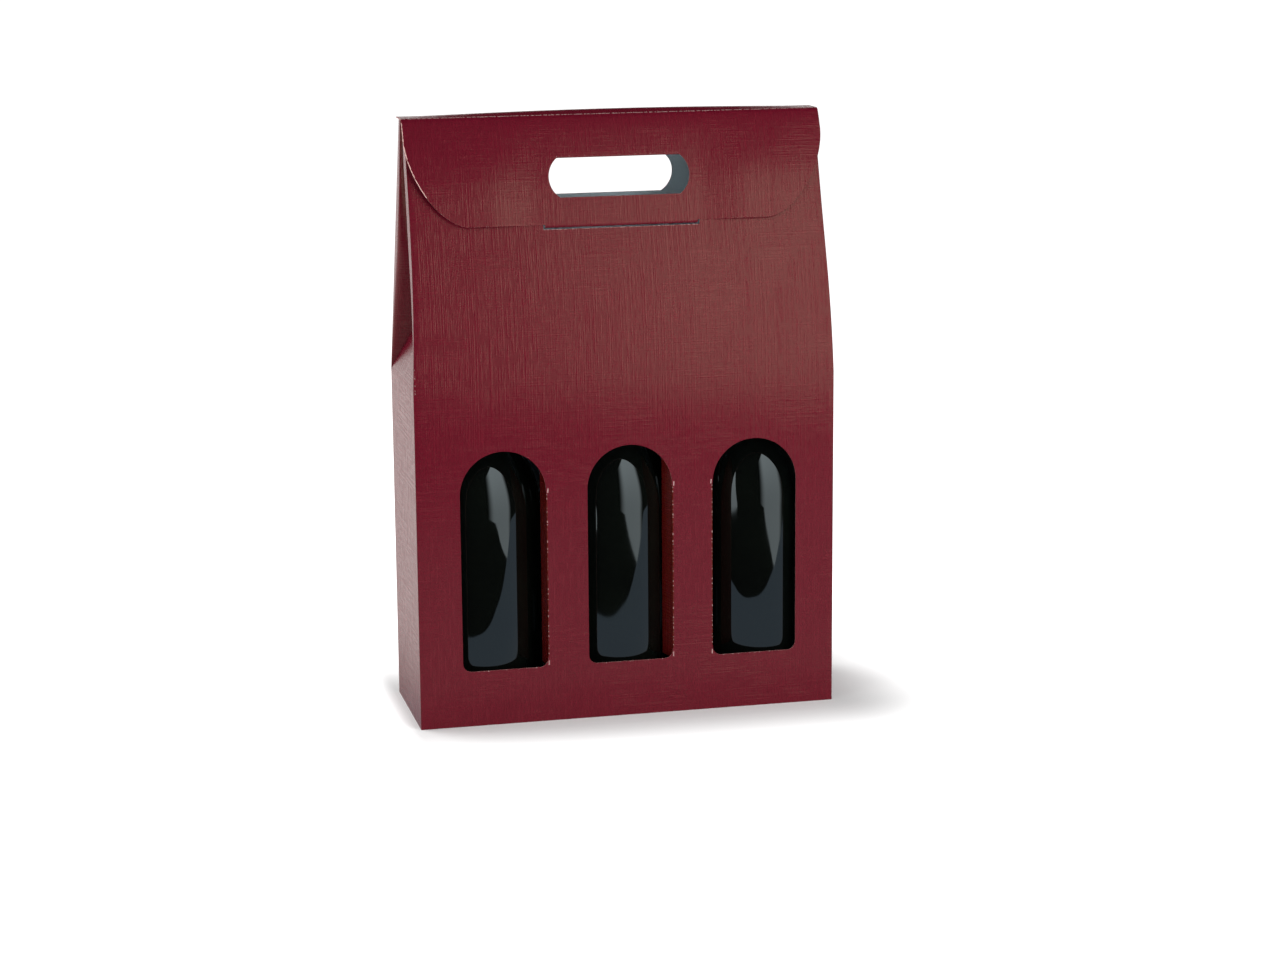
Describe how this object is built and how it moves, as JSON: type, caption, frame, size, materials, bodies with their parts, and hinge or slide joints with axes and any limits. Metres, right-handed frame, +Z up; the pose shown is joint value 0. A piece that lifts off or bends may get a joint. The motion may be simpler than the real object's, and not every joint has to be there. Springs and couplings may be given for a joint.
{
  "type": "wine gift box",
  "caption": "Folded card carrying box for wine bottles, with arched windows, a sloping top, folded-in side gussets and a tuck lid with a carrying hole.",
  "frame": {"origin": "middle of the footprint, on the surface the box stands on", "axes": "+Z up, the front with the windows faces -Y, +X to the viewer's right"},
  "size_m": [0.27, 0.09, 0.383],
  "materials": {
    "board": "linen-embossed, satin burgundy",
    "glass": "very dark green, glossy",
    "cork": "natural cork",
    "capsule": "satin dark foil"
  },
  "bodies": {
    "carton": {"front_panel": "board", "back_panel": "board", "left_side_panel": "board", "right_side_panel": "board", "glue_flap": "board", "front_sloping_panel": "board", "back_sloping_panel": "board", "left_gusset": "board", "right_gusset": "board", "left_front_wing": "board", "left_back_wing": "board", "right_front_wing": "board", "right_back_wing": "board", "front_base_flap": "board", "back_base_flap": "board", "left_dust_flap": "board", "right_dust_flap": "board"},
    "lid_strip": {"lid_strip": "board"},
    "lid_flap": {"lid_flap": "board"},
    "tuck_tab": {"tuck_tab": "board"},
    "handle_tongue": {"handle_tongue": "board"},
    "left_window_flap": {"left_window_flap": "board"},
    "middle_window_flap": {"middle_window_flap": "board"},
    "right_window_flap": {"right_window_flap": "board"},
    "left_bottle": {"left_bottle": "glass", "left_cork": "cork", "left_capsule": "capsule"},
    "middle_bottle": {"middle_bottle": "glass", "middle_cork": "cork", "middle_capsule": "capsule"},
    "right_bottle": {"right_bottle": "glass", "right_cork": "cork", "right_capsule": "capsule"}
  },
  "joints": [
    {"name": "lid_crease", "type": "hinge", "parent": "carton", "child": "lid_strip", "pos_m": [0, 0.009, 0.38], "axis": [-1, 0, 0], "range_deg": [0, 102.45]},
    {"name": "flap_crease", "type": "hinge", "parent": "lid_strip", "child": "lid_flap", "pos_m": [0, -0.009, 0.38055], "axis": [-1, 0, 0], "range_deg": [0, 77.55]},
    {"name": "tab_crease", "type": "hinge", "parent": "lid_flap", "child": "tuck_tab", "pos_m": [0, -0.02417, 0.31385], "axis": [-1, 0, 0], "range_deg": [0, 95.05]},
    {"name": "tongue_crease", "type": "hinge", "parent": "lid_flap", "child": "handle_tongue", "pos_m": [0, -0.0166, 0.35509], "axis": [-1, 0, 0], "range_deg": [0, 100.05]},
    {"name": "left_window_crease", "type": "hinge", "parent": "carton", "child": "left_window_flap", "pos_m": [-0.05225, -0.0441, 0.1], "axis": [0, 0, -1], "range_deg": [-80, 60]},
    {"name": "middle_window_crease", "type": "hinge", "parent": "carton", "child": "middle_window_flap", "pos_m": [0.029, -0.0441, 0.1], "axis": [0, 0, -1], "range_deg": [0, 60]},
    {"name": "right_window_crease", "type": "hinge", "parent": "carton", "child": "right_window_flap", "pos_m": [0.05485, -0.0441, 0.1], "axis": [0, 0, 1], "range_deg": [-78, 60]},
    {"name": "left_bottle_turn", "type": "hinge", "parent": "carton", "child": "left_bottle", "pos_m": [-0.0883, 0, 0.0024], "axis": [0, 0, 1], "continuous": true},
    {"name": "middle_bottle_turn", "type": "hinge", "parent": "carton", "child": "middle_bottle", "pos_m": [-0.0014, 0, 0.0032], "axis": [0, 0, 1], "continuous": true},
    {"name": "right_bottle_turn", "type": "hinge", "parent": "carton", "child": "right_bottle", "pos_m": [0.093, 0, 0.0024], "axis": [0, 0, 1], "continuous": true}
  ],
  "couplings": [
    {"joint": "flap_crease", "follows": "lid_crease", "ratio": 0.75688},
    {"joint": "tab_crease", "follows": "lid_crease", "ratio": 0.92724},
    {"joint": "tongue_crease", "follows": "lid_crease", "ratio": 0.97604}
  ]
}
